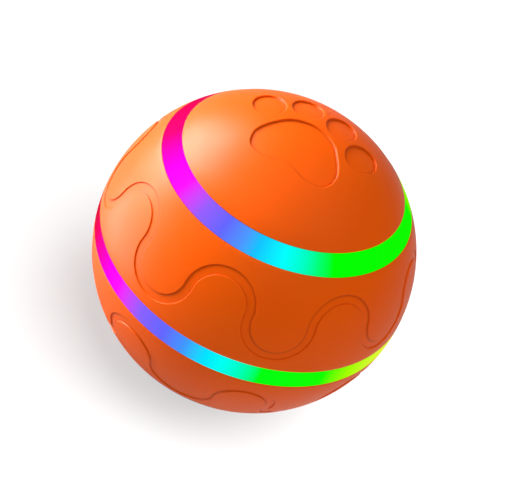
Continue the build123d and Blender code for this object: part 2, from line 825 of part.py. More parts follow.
with BuildPart() as charging_port:
    with BuildSketch(plane_at(port_place, board_high)):
        SlotOverall(port_long, port_wide, rotation=90)
    extrude(amount=roof_high - board_high)
    with BuildSketch(plane_at(port_place, board_high + port_floor)):
        SlotOverall(port_long - 2 * port_wall, port_wide - 2 * port_wall, rotation=90)
    extrude(amount=roof_high - board_high, mode=Mode.SUBTRACT)
    tongue_high = roof_high - port_tongue_drop
    low = board_high + port_floor
    block(plane_at(port_place, low), port_tongue_wide, port_tongue_long, tongue_high - low)

with BuildPart() as switch_body:
    block(plane_at(switch_place, board_high), switch_side, switch_side, switch_height)
    top = plane_at(switch_place, board_high + switch_height)
    peg(top, plunger_radius + running_gap, -plunger_well, mode=Mode.SUBTRACT)

with BuildPart() as motion_sensor:
    place = (0, -sensor_offset)
    peg(plane_at(place, board_high), sensor_radius, sensor_height)
    chamfer(faces().sort_by(Axis.Z)[-1].edges(), sensor_chamfer)

with BuildPart() as control_chip:
    block(plane_at((0, chip_offset), board_high), chip_long, chip_wide, chip_height)

# Top cover, button and pivot pin

with BuildPart() as top_cover:
    peg(Plane.XY.offset(board_high), top_radius, top_height)
    fillet(faces().sort_by(Axis.Z)[-1].edges(), top_wall)
    peg(Plane.XY.offset(board_high), top_inner, top_height - top_wall, mode=Mode.SUBTRACT)
    for place in top_lug_places:
        peg(plane_at(place, board_high), top_lug_radius, top_lug_wall)
    peg(Plane.XY.offset(board_high), top_inner, top_lug_wall, mode=Mode.SUBTRACT)
    boss_low = roof_low - pivot_seat
    peg(Plane.XY.offset(boss_low), pivot_boss_radius, pivot_boss_high - boss_low)
    peg(Plane.XY.offset(boss_low), pivot_radius + fixed_gap, pivot_boss_high - boss_low, mode=Mode.SUBTRACT)
    for place in top_lug_places:
        peg(plane_at(place, board_high), small_screw_radius + fixed_gap, top_lug_wall, mode=Mode.SUBTRACT)
    with BuildSketch(plane_at(port_place, roof_low)):
        SlotOverall(port_long + 2 * button_gap, port_wide + 2 * button_gap, rotation=90)
    extrude(amount=top_wall, mode=Mode.SUBTRACT)
    peg(plane_at(switch_place, roof_low), button_radius + button_gap, top_wall, mode=Mode.SUBTRACT)

with BuildPart() as top_cover_screws:
    for place in top_lug_places:
        seat = plane_at(place, board_high + top_lug_wall)
        reach = top_lug_wall + board_wall
        screw(seat, small_head_radius, small_head_height, small_screw_radius, reach)

with BuildPart() as pivot_pin:
    low = roof_low - pivot_seat
    peg(Plane.XY.offset(low), pivot_radius, pivot_high - low)
    chamfer(faces().sort_by(Axis.Z)[-1].edges(), pivot_chamfer)

with BuildPart() as power_button:
    low = board_high + switch_height + plunger_height
    peg(plane_at(switch_place, low), button_radius, roof_high + button_proud - low)
    fillet(faces().sort_by(Axis.Z)[-1].edges(), button_round)
    flange_high = roof_low - end_play
    flange_radius = button_radius + button_flange
    peg(plane_at(switch_place, flange_high), flange_radius, -button_flange_wall)
    peg(plane_at(switch_place, low), plunger_radius, -plunger_height - button_gap)

pieces = {
    "lower_core_shell": lower_core_shell,
    "lower_cap_cover": lower_cap_cover,
    "lower_wave_cover": lower_wave_cover,
    "lower_light_ring": lower_light_ring,
    "equator_light_ring": equator_light_ring,
    "drive_axle": drive_axle,
    "axle_screw": axle_screw,
    "output_gear": output_gear,
    "gear_screw": gear_screw,
    "seal_ring": seal_ring,
    "upper_core_shell": upper_core_shell,
    "upper_cap_cover": upper_cap_cover,
    "upper_wave_cover": upper_wave_cover,
    "upper_light_ring": upper_light_ring,
    "pivot_bush": pivot_bush,
    "gearbox_base": gearbox_base,
    "gearbox_cover": gearbox_cover,
    "cover_screws": cover_screws,
    "axle_bush": axle_bush,
    "gear_pins": gear_pins,
    "second_gear": second_gear,
    "first_gear": first_gear,
    "motor_pinion": motor_pinion,
    "motor_shaft": motor_shaft,
    "motor_can": motor_can,
    "motor_end_cap": motor_end_cap,
    "motor_screws": motor_screws,
    "motor_terminals": motor_terminals,
    "counterweight": counterweight,
    "weight_screws": weight_screws,
    "battery_cell": battery_cell,
    "battery_contacts": battery_contacts,
    "battery_pad": battery_pad,
    "circuit_board": circuit_board,
    "board_screws": board_screws,
    "ring_leds": ring_leds,
    "charging_port": charging_port,
    "switch_body": switch_body,
    "motion_sensor": motion_sensor,
    "control_chip": control_chip,
    "top_cover": top_cover,
    "top_cover_screws": top_cover_screws,
    "pivot_pin": pivot_pin,
    "power_button": power_button,
}

os.makedirs("parts", exist_ok=True)
for name, piece in pieces.items():
    piece.part.label = name
    export_step(piece.part, f"parts/{name}.step")
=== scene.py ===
# %% [markdown]
# # A motion-activated dog ball
#
# The ball has an orange skin in four soft covers, with three rings of light let in between them. A paw
# print is pressed into each end, and a channel winds round each half in waves. The halves screw apart
# round a geared drive unit. The CAD model already holds every rigid piece in its place, so this script
# gives the looks: the skin and the light rings as fine meshes, a finish for each piece inside, and the
# camera and light of a product picture.

# %% [markdown]
# ## The fixed frame
#
# Its pieces are never moved here. Other sizes are worked out from them, so the new meshes fit. Lengths
# are in metres, and `MM` lets small ones be written in millimetres.

# %% Load the frame
import json
from math import asin, atan2, cos, degrees, pi, radians, sin, sqrt

import bmesh
import bpy
from mathutils import Matrix, Vector
from mathutils.geometry import delaunay_2d_cdt

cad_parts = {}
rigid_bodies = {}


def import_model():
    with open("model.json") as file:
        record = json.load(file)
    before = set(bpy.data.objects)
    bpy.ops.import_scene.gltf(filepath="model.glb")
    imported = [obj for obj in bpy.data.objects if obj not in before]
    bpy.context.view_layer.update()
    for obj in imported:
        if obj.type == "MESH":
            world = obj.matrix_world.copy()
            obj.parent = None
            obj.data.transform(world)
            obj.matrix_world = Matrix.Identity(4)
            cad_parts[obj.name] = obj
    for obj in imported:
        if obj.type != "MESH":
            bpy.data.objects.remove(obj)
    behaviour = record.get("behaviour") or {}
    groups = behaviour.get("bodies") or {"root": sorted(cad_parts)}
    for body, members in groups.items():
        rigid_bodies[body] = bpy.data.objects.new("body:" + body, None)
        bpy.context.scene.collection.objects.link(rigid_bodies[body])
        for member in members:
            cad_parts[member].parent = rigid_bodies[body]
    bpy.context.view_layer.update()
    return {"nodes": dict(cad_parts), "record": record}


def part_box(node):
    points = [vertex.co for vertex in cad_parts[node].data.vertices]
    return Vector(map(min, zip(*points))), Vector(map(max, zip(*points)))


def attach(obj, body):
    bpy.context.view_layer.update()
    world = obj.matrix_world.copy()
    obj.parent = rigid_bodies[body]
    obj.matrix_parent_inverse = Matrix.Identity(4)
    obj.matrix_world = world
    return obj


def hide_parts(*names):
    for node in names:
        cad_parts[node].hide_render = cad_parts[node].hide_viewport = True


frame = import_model()
nodes = frame["nodes"]
MM = 0.001

# %% Read the ball's own sizes from the frame
rest_point = next(mount for mount in frame["record"]["mounts"] if mount["name"] == "rest_point")
ball_radius = -rest_point["pos_m"][2]
ring_half_angle = asin(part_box("equator_light_ring")[1].z / ball_radius)
ring_latitude = asin(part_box("upper_light_ring")[1].z / ball_radius) - ring_half_angle
wave_cover_top = asin(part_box("upper_wave_cover")[1].z / ball_radius)
seam_angle = ring_latitude - ring_half_angle - wave_cover_top
cap_edge_angle = ring_latitude + ring_half_angle + seam_angle
print("ball radius", round(ball_radius / MM, 3), "mm, rings at", round(degrees(ring_latitude), 2), "degrees")

# %% [markdown]
# ## The camera
#
# The ball fills nearly two thirds of the picture's width, and its rings give away where the camera stood:
# they are circles that the eye sees as ellipses. The camera looks down on the ball by about forty degrees
# and leans, so that the axis tips to the right in the picture. It is told by two directions, each made
# of the axis, the way to the front of the ball and the way to its right. The third is square to both.

# %% Set the camera
front_angle = radians(8.8)
axis_way = Vector((0, 0, 1))
front_way = Vector((sin(front_angle), -cos(front_angle), 0))
side_way = Vector((cos(front_angle), sin(front_angle), 0))
picture_right = 0.335 * axis_way - 0.287 * front_way + 0.897 * side_way
picture_back = (0.651 * axis_way + 0.759 * front_way).normalized()
picture_up = picture_back.cross(picture_right).normalized()
picture_right = picture_up.cross(picture_back)
camera_reach = 6.9 * ball_radius

camera = bpy.data.objects.new("camera", bpy.data.cameras.new("camera"))
bpy.context.scene.collection.objects.link(camera)
camera.data.lens = 78.7
camera.data.sensor_width = 36
camera.data.shift_x = -0.0015
camera.data.shift_y = 0.0010
turned = Matrix((picture_right, picture_up, picture_back)).transposed()
camera.matrix_world = Matrix.Translation(picture_back * camera_reach) @ turned.to_4x4()
bpy.context.scene.camera = camera
bpy.context.scene.view_settings.view_transform = "Standard"
print("camera", round(camera_reach, 4), "m from the ball's centre")

# %% [markdown]
# ## Shader maths as plain sums
#
# A material in Blender is a graph of nodes. Long graphs are hard to read when every sum is a node that is
# made and wired by hand. The class below wraps one output of a node, so that `1 - mask` adds a Math node
# and wires it. `Finish` is a material with one method that adds any node.

# %% A value that a node works out
class Value:
    """One output socket. Arithmetic on it adds Math nodes to its finish."""

    def __init__(self, finish, socket):
        self.finish, self.socket = finish, socket

    def sum_with(self, operation, other):
        return self.finish.node("ShaderNodeMath", {"operation": operation}, {0: self, 1: other})

    def __add__(self, other):
        return self.sum_with("ADD", other)

    def __mul__(self, other):
        return self.sum_with("MULTIPLY", other)

    def __sub__(self, other):
        return self.sum_with("SUBTRACT", other)

    def __rsub__(self, other):
        return self.finish.node("ShaderNodeMath", {"operation": "SUBTRACT"}, {0: other, 1: self})

    __radd__ = __add__
    __rmul__ = __mul__

    def other(self, name):
        """Another output of the same node."""
        return Value(self.finish, self.socket.node.outputs[name])


print("values can be added, multiplied and taken away")

# %% A material and its nodes
class Finish:
    """A material with one Principled shader. Its constants are named as on the shader, in small letters."""

    def __init__(self, name, **constants):
        self.material = bpy.data.materials.new(name)
        self.material.use_nodes = True
        self.tree = self.material.node_tree
        self.shader = self.tree.nodes["Principled BSDF"]
        for label, value in constants.items():
            self.set(self.shader.inputs[label.replace("_", " ").title().replace("Ior", "IOR")], value)

    def set(self, socket, value):
        if isinstance(value, Value):
            self.tree.links.new(value.socket, socket)
        else:
            socket.default_value = value

    def node(self, kind, settings, inputs):
        """Add a node: its settings come first, then the values or links of its sockets."""
        made = self.tree.nodes.new(kind)
        for label, value in settings.items():
            if label == "stops":
                fill_ramp(made.color_ramp, value)
            else:
                setattr(made, label, value)
        for label, value in inputs.items():
            self.set(made.inputs[label], value)
        shown = next(socket for socket in made.outputs if socket.enabled)
        return Value(self, shown)

    def feed(self, label, value):
        """Let a value or a colour drive one of the shader's sockets."""
        self.set(self.shader.inputs[label], value)


def fill_ramp(ramp, stops):
    """Give a colour ramp its stops, as pairs of a place and a colour."""
    for place, _ in stops[:-2]:
        ramp.elements.new(place)
    for element, (place, shade) in zip(ramp.elements, sorted(stops)):
        element.position = place
        element.color = shade


print("shader helpers are ready")

# %% Colours and patterns that many finishes share
def colour(code):
    """A colour from its web code, taken out of the sRGB curve, as shaders use it."""
    parts = [int(code[n : n + 2], 16) / 255 for n in (0, 2, 4)]
    linear = [c / 12.92 if c <= 0.04045 else ((c + 0.055) / 1.055) ** 2.4 for c in parts]
    return (*linear, 1)


def place_on(finish):
    """Where a point lies on its piece, in metres, whatever the pose."""
    return finish.node("ShaderNodeTexCoord", {}, {}).other("Object")


def noise(finish, size, detail=2.0, stretch=None):
    """Soft random values from 0 to 1, in blots of about size."""
    place = place_on(finish)
    if stretch:
        place = finish.node("ShaderNodeVectorMath", {"operation": "MULTIPLY"}, {0: place, 1: stretch})
    return finish.node("ShaderNodeTexNoise", {}, {"Vector": place, "Scale": 1 / size, "Detail": detail})


def cells(finish, size, feature="F1"):
    """Distance to the nearest of many scattered points, about size apart."""
    inputs = {"Vector": place_on(finish), "Scale": 1 / size}
    return finish.node("ShaderNodeTexVoronoi", {"feature": feature}, inputs)


def blend_colours(finish, share, first, second):
    """Mix two colours, or links to colours, by a share from 0 to 1."""
    settings = {"data_type": "RGBA"}
    made = finish.node("ShaderNodeMix", settings, {"Factor": share, 6: first, 7: second})
    return Value(finish, made.socket.node.outputs[2])


def raise_bumps(finish, height, depth):
    """Turn a height from 0 to 1 into bumps that are depth deep."""
    bump = finish.node("ShaderNodeBump", {}, {"Height": height, "Distance": depth, "Strength": 1.0})
    finish.feed("Normal", bump)


print("orange is", [round(c, 3) for c in colour("FF6400")[:3]])

# %% [markdown]
# ## Pieces that turn round the axis
#
# Almost every edge of the skin is a circle round the ball's axis: the rings, the rims of the covers and
# their unseen undersides. Such a surface is a profile swept round, like clay on a wheel. Blender has a
# Screw modifier for that, but the profile is easiest to write as latitudes and radii, and the covers'
# outer sheets have to meet it point by point, so the points are made here.

# %% Turn a profile round the axis
turn_columns = 384
near_pole = pi / 2 - 0.001


def direction(latitude, longitude):
    """A unit vector to a place on the ball. Longitude runs from the front, -Y, towards +X."""
    level = cos(latitude)
    return Vector((level * sin(longitude), -level * cos(longitude), sin(latitude)))


def turn_profile(mesh, profile):
    """Sweep pairs of latitude and radius round the axis. A pair at the pole is a single point."""
    circles = []
    for latitude, radius in profile:
        columns = 1 if latitude > near_pole else turn_columns
        turns = [2 * pi * n / turn_columns for n in range(columns)]
        circles.append([mesh.verts.new(direction(latitude, turn) * radius) for turn in turns])
    for lower, upper in zip(circles, circles[1:]):
        for n in range(turn_columns):
            after = (n + 1) % turn_columns
            top = [upper[after], upper[n]] if len(upper) > 1 else [upper[0]]
            mesh.faces.new([lower[n], lower[after], *top])


def between(first, last, steps):
    """Evenly spaced values from first to last."""
    return [first + (last - first) * n / steps for n in range(steps + 1)]


column_gap = 2 * pi * ball_radius / turn_columns
print("each circle has", turn_columns, "points,", round(column_gap / MM, 2), "mm apart")

# %% Finish a mesh as a piece of the ball
same_point = 0.0004 * MM


def add_piece(name, mesh, finish, body, node):
    """Close the mesh up, shade it smoothly and let it stand for a CAD node that shares its slot."""
    bmesh.ops.remove_doubles(mesh, verts=mesh.verts, dist=same_point)
    bmesh.ops.recalc_face_normals(mesh, faces=mesh.faces)
    data = bpy.data.meshes.new(name)
    mesh.to_mesh(data)
    mesh.free()
    data.shade_smooth()
    data.materials.append(finish.material)
    piece = bpy.data.objects.new(name, data)
    bpy.context.scene.collection.objects.link(piece)
    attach(piece, body)
    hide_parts(node)
    return piece


def mirror_below(mesh):
    """A copy of a mesh, mirrored from the upper half to the lower."""
    below = mesh.copy()
    bmesh.ops.scale(below, vec=(1, 1, -1), verts=below.verts)
    return below


print("pieces can be added")

# %% [markdown]
# ## The rims and undersides of the covers
#
# Each cover is a shell of soft rubber, about two and a half millimetres thick. A moulded edge is never
# quite sharp, so its profile starts on the outside with a small round, goes in to the core, crosses under
# the cover and comes out with another round. The outer sheet is left out here, because it carries the
# pressed pattern.

# %% The profile of a cover without its outer sheet
def inner_reach(node):
    """How near a node's mesh comes to the ball's centre."""
    return min(corner.co.length for corner in nodes[node].data.vertices)


cover_inner = inner_reach("upper_wave_cover")
edge_round = 0.07 * MM
round_steps, under_steps = 3, 12


def rim(edge, inward):
    """A rounded edge from the outer sheet to the underside. inward is 1 where the cover lies above it."""
    pairs = []
    for turn in between(0, pi / 2, round_steps):
        lean = edge_round * (1 - sin(turn)) / ball_radius
        pairs.append((edge + inward * lean, ball_radius - edge_round * (1 - cos(turn))))
    return pairs


def cover_profile(low_edge, high_edge):
    """Down one rim, across the underside and up the other rim. A cap has no second rim."""
    under = [(latitude, cover_inner) for latitude in between(low_edge, high_edge, under_steps)]
    closing = [] if high_edge > near_pole else list(reversed(rim(high_edge, -1)))
    return rim(low_edge, 1) + under + closing


print("cover wall", round((ball_radius - cover_inner) / MM, 2), "mm")

# %% [markdown]
# ## Sheets with a pressed pattern
#
# The outside of a cover is a smooth sheet with lines pressed into it: a wave in the band, a paw in the
# cap. A displacement map would blur the narrow walls, and a boolean cut leaves long thin faces that shade
# badly. Here the pattern's outlines are repeated side by side at small steps, each with its own depth, and
# a constrained Delaunay net joins them with points spread over the rest. The walls come out crisp, with
# small rounds that catch the light, as they do on moulded rubber.
#
# The foot of such a wall is also given painted shade: a darker colour that stands in for the soft shade in
# the crease. So each line also says how much painted shade it holds, from 0 to 1, and the net carries it
# to the finish as a named value on its points.

# %% Fill a flat outline with a net and lift it on to the ball
# The net fills all that lies between its outermost points, and takes points this close as one.
fill_all, net_closeness = 0, 1e-6


def fill_sheet(mesh, lines, points, lift):
    """lines are (flat points, depth, painted shade, closed) and points lie on the surface. lift places a
    point.
    """
    flat, steps_down, edges = list(points), [(0.0, 0.0)] * len(points), []
    for line, depth, crease, closed in lines:
        start = len(flat)
        flat += line
        steps_down += [(depth, crease)] * len(line)
        steps = range(len(line) if closed else len(line) - 1)
        edges += [(start + n, start + (n + 1) % len(line)) for n in steps]
    net = delaunay_2d_cdt([Vector(place) for place in flat], edges, [], fill_all, net_closeness)
    made, _, faces, sources, _, _ = net
    # Each point keeps the painted shade of its line, which darkens the skin's colour where shade falls in a
    # crease.
    painted_shade_layer = mesh.verts.layers.float.new("crease")
    corners = []
    for place, source in zip(made, sources):
        depth, crease = steps_down[source[0]]
        corners.append(mesh.verts.new(lift(place, depth)))
        corners[-1][painted_shade_layer] = crease
    for face in faces:
        mesh.faces.new([corners[n] for n in face])


def near(place, others, gap):
    """Whether a place lies within a gap of any of the others."""
    return any((place - other).length < gap for other in others)


print("sheets can be pressed")

# %% [markdown]
# ## The wave channel
#
# A channel winds round each half in eight even waves. Its line is made of arcs that meet without a corner,
# each arc a small circle on the ball, so it looks the same round the whole band. Seen in the picture, the
# wall nearer the middle of the ball is steep and the other one slopes a little. The list of steps across
# the channel holds that shape: how far from the channel's middle, how deep, and how dark its painted shade.
#
# The arcs' centres lie on one latitude, apart from a small lean: up for a peak, down for a trough.

# %% The line of the channel
wave_count = 8
wave_half_period = pi / wave_count
wave_start = radians(5.5)
wave_latitude, wave_lean = radians(20.35), radians(0.45)
arc_steps = 48


def wave_arc(side, longitude, beyond, share_from, share_to, steps):
    """One bend of the channel: a peak for side 1, a trough for -1, moved beyond its middle line."""
    centre = direction(wave_latitude + side * wave_lean, longitude)
    neighbour = direction(wave_latitude - side * wave_lean, longitude + wave_half_period)
    east = direction(0, longitude + pi / 2)
    north = centre.cross(east)
    reach = centre.angle(neighbour) / 2 + side * beyond / ball_radius
    rise = atan2(neighbour.dot(north), neighbour.dot(east))
    sweep = pi - 2 * side * rise
    places = []
    for share in between(share_from, share_to, steps):
        turn = pi - rise - side * share * sweep
        away = east * cos(turn) + north * sin(turn)
        places.append(centre * cos(reach) + away * sin(reach))
    return places


print(wave_count, "waves, one each", round(degrees(2 * wave_half_period), 1), "degrees")

# %% One period of the line
def wave_line(beyond):
    """One period of the channel as flat (longitude, latitude) points in degrees, from trough to trough."""
    half = arc_steps // 2
    places = wave_arc(-1, wave_start - wave_half_period, beyond, 0.5, 1, half)
    places += wave_arc(1, wave_start, beyond, 0, 1, arc_steps)[1:]
    places += wave_arc(-1, wave_start + wave_half_period, beyond, 0, 0.5, half)[1:]
    flat = [Vector((degrees(atan2(place.x, -place.y)), degrees(asin(place.z)))) for place in places]
    flat[0].x = degrees(wave_start - wave_half_period)
    flat[-1].x = degrees(wave_start + wave_half_period)
    return flat


middle = wave_line(0)
lowest, highest = min(place.y for place in middle), max(place.y for place in middle)
print("the channel's middle runs from", round(lowest, 2), "to", round(highest, 2), "degrees of latitude")

# %% The steps across the channel: millimetres from its middle, depth and painted shade
channel_steps = [
    (1.34, 0, 0), (1.24, 0, 0), (1.18, 0.008, 0), (1.145, 0.035, 0), (1.125, 0.07, 0.1), (1.06, 0.24, 0.5),
    (1.03, 0.275, 0.6), (0.98, 0.294, 0.6), (0.9, 0.3, 0.5), (0.6, 0.3, 0.15), (0.3, 0.3, 0), (-0.6, 0.3, 0),
    (-0.98, 0.3, 0.2), (-1.05, 0.294, 0.5), (-1.085, 0.27, 0.5), (-1.105, 0.235, 0.3), (-1.135, 0.06, 0),
    (-1.15, 0.03, 0), (-1.185, 0.007, 0), (-1.24, 0, 0), (-1.34, 0, 0),
]  # fmt: skip
print(len(channel_steps), "steps across the channel")

# %% The points between the channel and the rims, in degrees
band_row_gap, band_columns, clear_of_channel = 1.6, 27, 2.7


def band_points(left, right, low, high):
    """Rows of points over one period, every other row moved by half a column."""
    rows = between(low, high, round((high - low) / band_row_gap))
    points = []
    for n, latitude in enumerate(rows[1:-1]):
        odd = n % 2
        columns = [m + 0.5 * odd for m in range(1 - odd, band_columns)]
        across = [left + (right - left) * column / band_columns for column in columns]
        for longitude in (left, *across, right):
            place = Vector((longitude, latitude))
            if not near(place, middle, clear_of_channel):
                points.append(place)
    return points


print("the band's points stay", clear_of_channel, "degrees off the channel's middle")

# %% The cover of the band
def lift_band(place, depth):
    """From degrees of longitude and latitude to the ball, so many millimetres deep."""
    return direction(radians(place.y), radians(place.x)) * (ball_radius - depth * MM)


def wave_cover():
    """One period of the outer sheet, repeated all round, with the rims and the underside."""
    low_edge, start = ring_half_angle + seam_angle, wave_start - wave_half_period
    low = degrees(low_edge + edge_round / ball_radius)
    high = degrees(wave_cover_top - edge_round / ball_radius)
    left, right = degrees(start), degrees(wave_start + wave_half_period)
    lines = [(wave_line(beyond * MM), depth, crease, False) for beyond, depth, crease in channel_steps]
    for latitude in (low, high):
        circle = [Vector((x, latitude)) for x in between(left, right, turn_columns // wave_count)]
        lines.append((circle, 0, 0, False))
    mesh = bmesh.new()
    fill_sheet(mesh, lines, band_points(left, right, low, high), lift_band)
    period = mesh.verts[:] + mesh.edges[:] + mesh.faces[:]
    for n in range(1, wave_count):
        copy = bmesh.ops.duplicate(mesh, geom=period)["geom"]
        turned = Matrix.Rotation(2 * wave_half_period * n, 3, "Z")
        copied = [part for part in copy if isinstance(part, bmesh.types.BMVert)]
        bmesh.ops.rotate(mesh, matrix=turned, verts=copied)

    # The shell is turned so that its circles meet the sheet's edges point by point.
    shell = bmesh.new()
    turn_profile(shell, cover_profile(low_edge, wave_cover_top))
    bmesh.ops.rotate(shell, matrix=Matrix.Rotation(start, 3, "Z"), verts=shell.verts)
    joined = bpy.data.meshes.new("shell")
    shell.to_mesh(joined)
    shell.free()
    mesh.from_mesh(joined)
    bpy.data.meshes.remove(joined)
    return mesh


print("the band's cover is one sheet repeated", wave_count, "times")

# %% [markdown]
# ## The paw print
#
# Each end of the ball has a paw pressed into it: a wide pad and four toes. Its outlines lie flat, as they
# do on the mould's drawing, and are lifted straight up on to the ball. Toes are ellipses that splay out.
# The pad's outline goes through a few points that were set against the picture, and is mirrored
# about the middle, so both sides agree.

# %% A toe: millimetres across and up, and degrees of splay
toe_half_sizes, toe_points = (3.8, 5.4), 80
toe_places = [(12.3, 3.25, 17), (4.55, 8.25, 5)]


def toe_outline(across, up, splay, side):
    """A closed ellipse, in millimetres, with the way out from its middle at each point."""
    tip = Matrix.Rotation(-side * radians(splay), 2)
    middle_of_toe = Vector((side * across, up))
    half_width, half_length = toe_half_sizes
    outline = []
    for turn in between(0, 2 * pi, toe_points)[:-1]:
        place = tip @ Vector((half_width * cos(turn), half_length * sin(turn)))
        out = tip @ Vector((cos(turn) / half_width, sin(turn) / half_length))
        outline.append((middle_of_toe + place, out.normalized()))
    return outline


print("a toe is", 2 * toe_half_sizes[0], "by", 2 * toe_half_sizes[1], "mm")

# %% The pad: its size, and its right half as shares of that size
pad_half_width, pad_length, pad_top, pad_steps = 10.6, 16.0, 2.1, 14
pad_shares = [(0, 0), (0.55, 0.14), (0.76, 0.31), (1, 0.68), (0.88, 0.91), (0.54, 1), (0, 0.94)]


def knot_way(before, here, after, gap_before, gap_after):
    """The curve's direction at a knot, weighted by how near its neighbours are."""
    back, on = (here - before) / gap_before, (after - here) / gap_after
    return (back * gap_after + on * gap_before) / (gap_before + gap_after)


def pad_outline():
    """A closed smooth curve through the pad's points and their mirror images."""
    right = [Vector((across * pad_half_width, pad_top - down * pad_length)) for across, down in pad_shares]
    left = [Vector((-place.x, place.y)) for place in reversed(right[1:-1])]
    knots = right + left
    places = []
    for n, here in enumerate(knots):
        before, after, later = knots[n - 1], knots[(n + 1) % len(knots)], knots[(n + 2) % len(knots)]
        gap_before, gap, gap_after = (here - before).length, (after - here).length, (later - after).length
        leaving = knot_way(before, here, after, gap_before, gap) * gap
        arriving = knot_way(here, after, later, gap, gap_after) * gap
        for share in between(0, 1, pad_steps)[:-1]:
            square, cube = share * share, share * share * share
            places.append(
                here * (2 * cube - 3 * square + 1)
                + leaving * (cube - 2 * square + share)
                + after * (3 * square - 2 * cube)
                + arriving * (cube - square)
            )
    outline = []
    for n, place in enumerate(places):
        along = places[(n + 1) % len(places)] - places[n - 1]
        outline.append((place, Vector((-along.y, along.x)).normalized()))
    return outline


paw_outlines = [pad_outline()]
for side in (1, -1):
    paw_outlines += [toe_outline(*toe, side) for toe in toe_places]
print(len(paw_outlines), "outlines, the pad's with", len(paw_outlines[0]), "points")

# %% The steps over the paw's edge: millimetres out from its outline, depth and painted shade
paw_depth = 0.5
paw_steps = [
    (0.34, 0, 0), (0.2, 0, 0), (0.1, 0.013, 0), (0.04, 0.055, 0), (0, 0.13, 0.2), (-0.05, 0.36, 0.6),
    (-0.09, 0.435, 0.7), (-0.17, 0.485, 0.6), (-0.28, paw_depth, 0.5), (-0.45, paw_depth, 0.35),
    (-0.7, paw_depth, 0.15), (-1.0, paw_depth, 0),
]  # fmt: skip
print(len(paw_steps), "steps over the paw's edge")

# %% The points over the rest of the cap, in millimetres
cap_row_gap, cap_row_growth, cap_row_twist, clear_of_edge = 1.25, 6, 0.4, 1.3


def inside(place, outline):
    """Whether a flat point lies within an outline, told by how often a line from it crosses."""
    crossings = 0
    for (first, _), (second, _) in zip(outline, outline[1:] + outline[:1]):
        if (first.y > place.y) != (second.y > place.y):
            share = (place.y - first.y) / (second.y - first.y)
            crossings += place.x < first.x + share * (second.x - first.x)
    return crossings % 2 == 1


def cap_points(reach):
    """Rows of points round the pole, clear of the paw's edges: those outside it, then those inside."""
    edge_points = [place for outline in paw_outlines for place, _ in outline]
    level, sunk = [], []
    for row in range(round(reach / cap_row_gap) - 1):
        count = max(1, cap_row_growth * row)
        for n in range(count):
            turn = 2 * pi * n / count + cap_row_twist * row
            place = Vector((cos(turn), sin(turn))) * row * cap_row_gap
            if near(place, edge_points, clear_of_edge):
                continue
            within = any(inside(place, outline) for outline in paw_outlines)
            (sunk if within else level).append(place)
    return level, sunk


print("the cap's points stay", clear_of_edge, "mm off the paw's edges")

# %% The cover of the cap
def lift_cap(place, depth):
    """From flat millimetres straight up to the ball, so many millimetres deep."""
    flat = Vector((place.x, place.y)) * MM
    radius = ball_radius - depth * MM
    return Vector((flat.x, flat.y, sqrt(radius**2 - flat.length_squared)))


def cap_cover():
    """The outer sheet with the paw in it, with the rim and the underside."""
    rim_radius = ball_radius * cos(cap_edge_angle + edge_round / ball_radius) / MM
    turns = [2 * pi * n / turn_columns for n in range(turn_columns)]
    circle = [Vector((sin(turn), -cos(turn))) * rim_radius for turn in turns]
    lines = [(circle, 0, 0, True)]
    for outline in paw_outlines:
        for beyond, depth, crease in paw_steps:
            lines.append(([place + out * beyond for place, out in outline], depth, crease, True))
    level, sunk = cap_points(rim_radius)
    lines += [([place], paw_depth, 0, False) for place in sunk]
    mesh = bmesh.new()
    fill_sheet(mesh, lines, level, lift_cap)
    turn_profile(mesh, cover_profile(cap_edge_angle, pi / 2))
    return mesh


print("the paw is", paw_depth, "mm deep")

# %% [markdown]
# ## The soft orange skin
#
# The covers are a soft rubber with a satin face. Such a face is never one flat colour: it is a little
# cloudy, its gloss varies where it was handled, and close by it has the fine grain of the mould. Three
# layers of noise give that, each at its own scale. The painted shade that the sheets carry in their
# creases is mixed into the colour, as a deeper orange.

# %% The skin's finish
def skin_finish():
    skin = Finish("orange_skin", specular_ior_level=0.08)
    cloud = noise(skin, 14 * MM, 3)
    unshaded_orange = blend_colours(skin, cloud, colour("FF5C02"), colour("FF6402"))
    # Painted shade: the creases of the channel and the paw get a darker orange, standing in for the shade in
    # them.
    crease = skin.node("ShaderNodeAttribute", {"attribute_name": "crease"}, {}).other("Fac")
    skin.feed("Base Color", blend_colours(skin, crease, unshaded_orange, colour("B84000")))
    wear = noise(skin, 3 * MM, 4)
    skin.feed("Roughness", 0.35 + 0.09 * wear)
    raise_bumps(skin, noise(skin, 0.32 * MM), 0.012 * MM)
    return skin


orange_skin = skin_finish()
print("made", orange_skin.material.name)

# %% Make the four covers
covers = [("cap_cover", cap_cover()), ("wave_cover", wave_cover())]
for name, mesh in covers:
    lower_mesh = mirror_below(mesh)
    for half, half_mesh in (("upper", mesh), ("lower", lower_mesh)):
        cover = add_piece(f"{half}_{name}_skin", half_mesh, orange_skin, f"{half}_half", f"{half}_{name}")
        print(cover.name, len(cover.data.polygons), "faces")

# %% [markdown]
# ## The light rings
#
# The rings are frosted lenses over a row of coloured lamps, and in the picture the colours run into each
# other like a rainbow, each ring a little differently. A real lamp behind a lens would be noisy to render
# and would wash out. So the lens itself glows: its colour comes from a ramp that follows the angle round
# the axis, and what is not lit stays dark, which keeps the colours pure.

